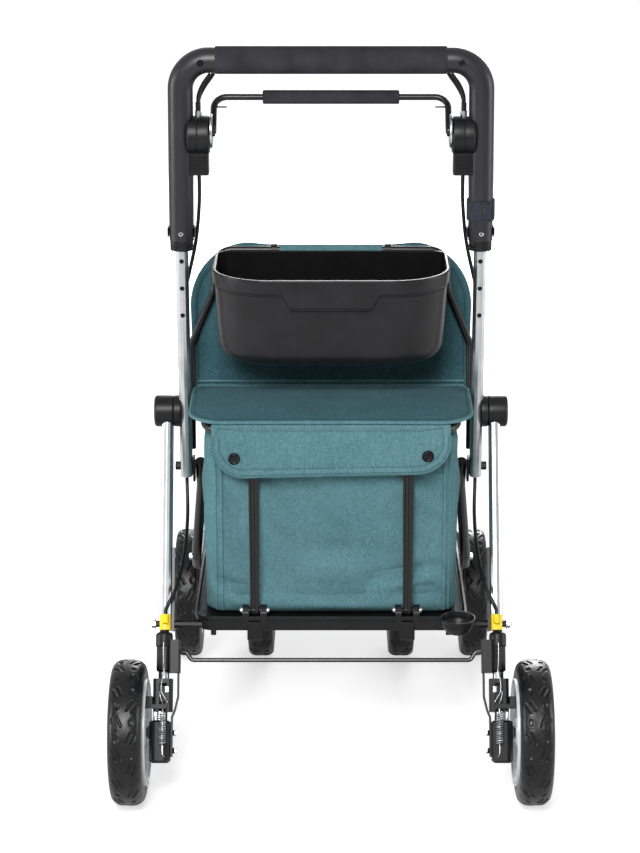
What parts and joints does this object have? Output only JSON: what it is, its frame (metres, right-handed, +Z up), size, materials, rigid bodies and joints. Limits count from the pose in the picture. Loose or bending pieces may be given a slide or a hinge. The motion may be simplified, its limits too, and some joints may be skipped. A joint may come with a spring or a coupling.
{
  "type": "shopping rollator",
  "caption": "Folding shopping rollator with a height-adjustable handle, brake bar, padded seat, fabric bag, lift-off basket, tray and twin-wheel casters.",
  "frame": {"origin": "on the floor, under the middle of the bounding box", "axes": "+X to the user's right, +Y forward in the direction of walking, +Z up"},
  "size_m": [0.5712, 0.684, 0.9632],
  "materials": {
    "silver_tube": "satin silver tube",
    "black_tube": "black powder coat, satin",
    "black_plastic": "moulded black plastic, fine grain",
    "grip_foam": "matte charcoal foam",
    "basket_plastic": "moulded black plastic, satin",
    "teal_fabric": "woven teal fabric, matte",
    "yellow_plastic": "bright yellow plastic",
    "tyre_rubber": "black rubber, matte",
    "rim_plastic": "light grey plastic",
    "spring_steel": "bright spring wire",
    "cable_sheath": "black cable sheath"
  },
  "bodies": {
    "frame": {"upright_left": "silver_tube", "upright_right": "silver_tube", "front_frame": "black_tube", "hoop_tube": "black_tube", "lower_bracket_left": "black_plastic", "lower_bracket_right": "black_plastic", "hinge_disc_left": "black_plastic", "hinge_disc_right": "black_plastic", "back_panel": "teal_fabric", "bag": "teal_fabric", "lower_cable_left": "cable_sheath", "lower_cable_right": "cable_sheath"},
    "handle": {"handle_tube": "black_tube", "handle_grip": "grip_foam", "collar_left": "black_plastic", "collar_right": "black_plastic", "brake_housing_left": "black_plastic", "brake_housing_right": "black_plastic", "cable_strap": "grip_foam", "upper_cable_left": "cable_sheath", "upper_cable_right": "cable_sheath", "bridge_cable_left": "cable_sheath", "bridge_cable_right": "cable_sheath"},
    "height_clip_left": {"height_clip_left": "black_plastic"},
    "height_clip_right": {"height_clip_right": "black_plastic"},
    "brake_lever": {"brake_bar": "black_tube", "brake_grip": "grip_foam"},
    "rear_legs": {"rear_leg_left": "silver_tube", "rear_leg_right": "silver_tube", "hinge_cap_left": "black_plastic", "hinge_cap_right": "black_plastic", "cross_tube": "black_tube", "foot_bar": "black_tube", "yellow_sleeve_left": "yellow_plastic", "yellow_sleeve_right": "yellow_plastic", "bellows_left": "black_plastic", "bellows_right": "black_plastic", "foot_left": "black_plastic", "foot_right": "black_plastic", "brake_spring_left": "spring_steel", "brake_spring_right": "spring_steel"},
    "brake_shoe_left": {"brake_shoe_left": "black_plastic"},
    "brake_shoe_right": {"brake_shoe_right": "black_plastic"},
    "rear_wheel_left": {"rear_tyre_left": "tyre_rubber", "rear_rim_left": "rim_plastic"},
    "rear_wheel_right": {"rear_tyre_right": "tyre_rubber", "rear_rim_right": "rim_plastic"},
    "caster_left": {"caster_fork_left": "black_plastic"},
    "caster_right": {"caster_fork_right": "black_plastic"},
    "front_wheel_inner_left": {"front_wheel_inner_left": "tyre_rubber"},
    "front_wheel_inner_right": {"front_wheel_inner_right": "tyre_rubber"},
    "front_wheel_outer_left": {"front_wheel_outer_left": "tyre_rubber"},
    "front_wheel_outer_right": {"front_wheel_outer_right": "tyre_rubber"},
    "seat": {"seat_cushion": "teal_fabric", "seat_frame": "black_tube"},
    "flap": {"bag_flap": "teal_fabric"},
    "tray": {"tray": "black_plastic"},
    "strut_left": {"strut_left": "black_tube"},
    "strut_right": {"strut_right": "black_tube"},
    "basket": {"basket": "basket_plastic"}
  },
  "joints": [
    {"name": "handle_height", "type": "slide", "parent": "frame", "child": "handle", "axis": [0, -0.0373, 0.9993], "range_m": [-0.11, 0], "deforming": ["upper_cable_left", "upper_cable_right"]},
    {"name": "height_clip_left", "type": "slide", "parent": "handle", "child": "height_clip_left", "axis": [0, -1, 0], "range_m": [0, 0.003], "stiffness_N_per_m": 300, "springref_m": -0.002},
    {"name": "height_clip_right", "type": "slide", "parent": "handle", "child": "height_clip_right", "axis": [0, -1, 0], "range_m": [0, 0.003], "stiffness_N_per_m": 300, "springref_m": -0.002},
    {"name": "brake_squeeze", "type": "hinge", "parent": "handle", "child": "brake_lever", "pos_m": [0, -0.0674, 0.854], "axis": [1, 0, 0], "range_deg": [0, 15], "stiffness_Nm_per_rad": 1, "springref_deg": -11.46},
    {"name": "fold", "type": "hinge", "parent": "frame", "child": "rear_legs", "pos_m": [0, -0.0532, 0.474], "axis": [1, 0, 0], "range_deg": [0, 40], "deforming": ["lower_cable_left", "lower_cable_right"]},
    {"name": "brake_shoe_left", "type": "slide", "parent": "rear_legs", "child": "brake_shoe_left", "axis": [0, 0.4553, 0.8904], "range_m": [0, 0.003], "deforming": ["brake_spring_left"]},
    {"name": "brake_shoe_right", "type": "slide", "parent": "rear_legs", "child": "brake_shoe_right", "axis": [0, 0.4553, 0.8904], "range_m": [0, 0.003], "deforming": ["brake_spring_right"]},
    {"name": "seat_lift", "type": "hinge", "parent": "frame", "child": "seat", "pos_m": [0, -0.018, 0.4842], "axis": [-1, 0, 0], "range_deg": [0, 18.1]},
    {"name": "flap_lift", "type": "hinge", "parent": "seat", "child": "flap", "pos_m": [0, -0.185, 0.488], "axis": [-1, 0, 0], "range_deg": [0, 70]},
    {"name": "tray_lift", "type": "hinge", "parent": "frame", "child": "tray", "pos_m": [0, 0.066, 0.2217], "axis": [-1, 0, 0], "range_deg": [0, 11.5], "deforming": ["bag"]},
    {"name": "strut_left", "type": "hinge", "parent": "tray", "child": "strut_left", "pos_m": [-0.1, -0.185, 0.2414], "axis": [1, 0, 0], "range_deg": [0, 12.6]},
    {"name": "strut_right", "type": "hinge", "parent": "tray", "child": "strut_right", "pos_m": [0.1, -0.185, 0.2414], "axis": [1, 0, 0], "range_deg": [0, 12.6]},
    {"name": "basket_lift", "type": "slide", "parent": "frame", "child": "basket", "axis": [0, 0, 1], "range_m": [0, 0.06]},
    {"name": "rear_wheel_left", "type": "hinge", "parent": "rear_legs", "child": "rear_wheel_left", "pos_m": [-0.2634, -0.247, 0.095], "axis": [1, 0, 0], "continuous": true},
    {"name": "rear_wheel_right", "type": "hinge", "parent": "rear_legs", "child": "rear_wheel_right", "pos_m": [0.2634, -0.247, 0.095], "axis": [1, 0, 0], "continuous": true},
    {"name": "caster_left", "type": "hinge", "parent": "frame", "child": "caster_left", "pos_m": [-0.158, 0.282, 0.2], "axis": [0, 0, 1], "continuous": true},
    {"name": "caster_right", "type": "hinge", "parent": "frame", "child": "caster_right", "pos_m": [0.158, 0.282, 0.2], "axis": [0, 0, 1], "continuous": true},
    {"name": "front_wheel_inner_left", "type": "hinge", "parent": "caster_left", "child": "front_wheel_inner_left", "pos_m": [-0.104, 0.247, 0.095], "axis": [1, 0, 0], "continuous": true},
    {"name": "front_wheel_outer_left", "type": "hinge", "parent": "caster_left", "child": "front_wheel_outer_left", "pos_m": [-0.2115, 0.247, 0.095], "axis": [1, 0, 0], "continuous": true},
    {"name": "front_wheel_inner_right", "type": "hinge", "parent": "caster_right", "child": "front_wheel_inner_right", "pos_m": [0.104, 0.247, 0.095], "axis": [1, 0, 0], "continuous": true},
    {"name": "front_wheel_outer_right", "type": "hinge", "parent": "caster_right", "child": "front_wheel_outer_right", "pos_m": [0.2115, 0.247, 0.095], "axis": [1, 0, 0], "continuous": true}
  ],
  "couplings": [
    {"joint": "brake_shoe_left", "follows": "brake_squeeze", "m_per_rad": 0.0114},
    {"joint": "brake_shoe_right", "follows": "brake_squeeze", "m_per_rad": 0.0114},
    {"joint": "seat_lift", "follows": "fold", "ratio": 0.45},
    {"joint": "tray_lift", "follows": "fold", "ratio": 0.284},
    {"joint": "strut_left", "follows": "fold", "ratio": 0.311},
    {"joint": "strut_right", "follows": "fold", "ratio": 0.311}
  ]
}
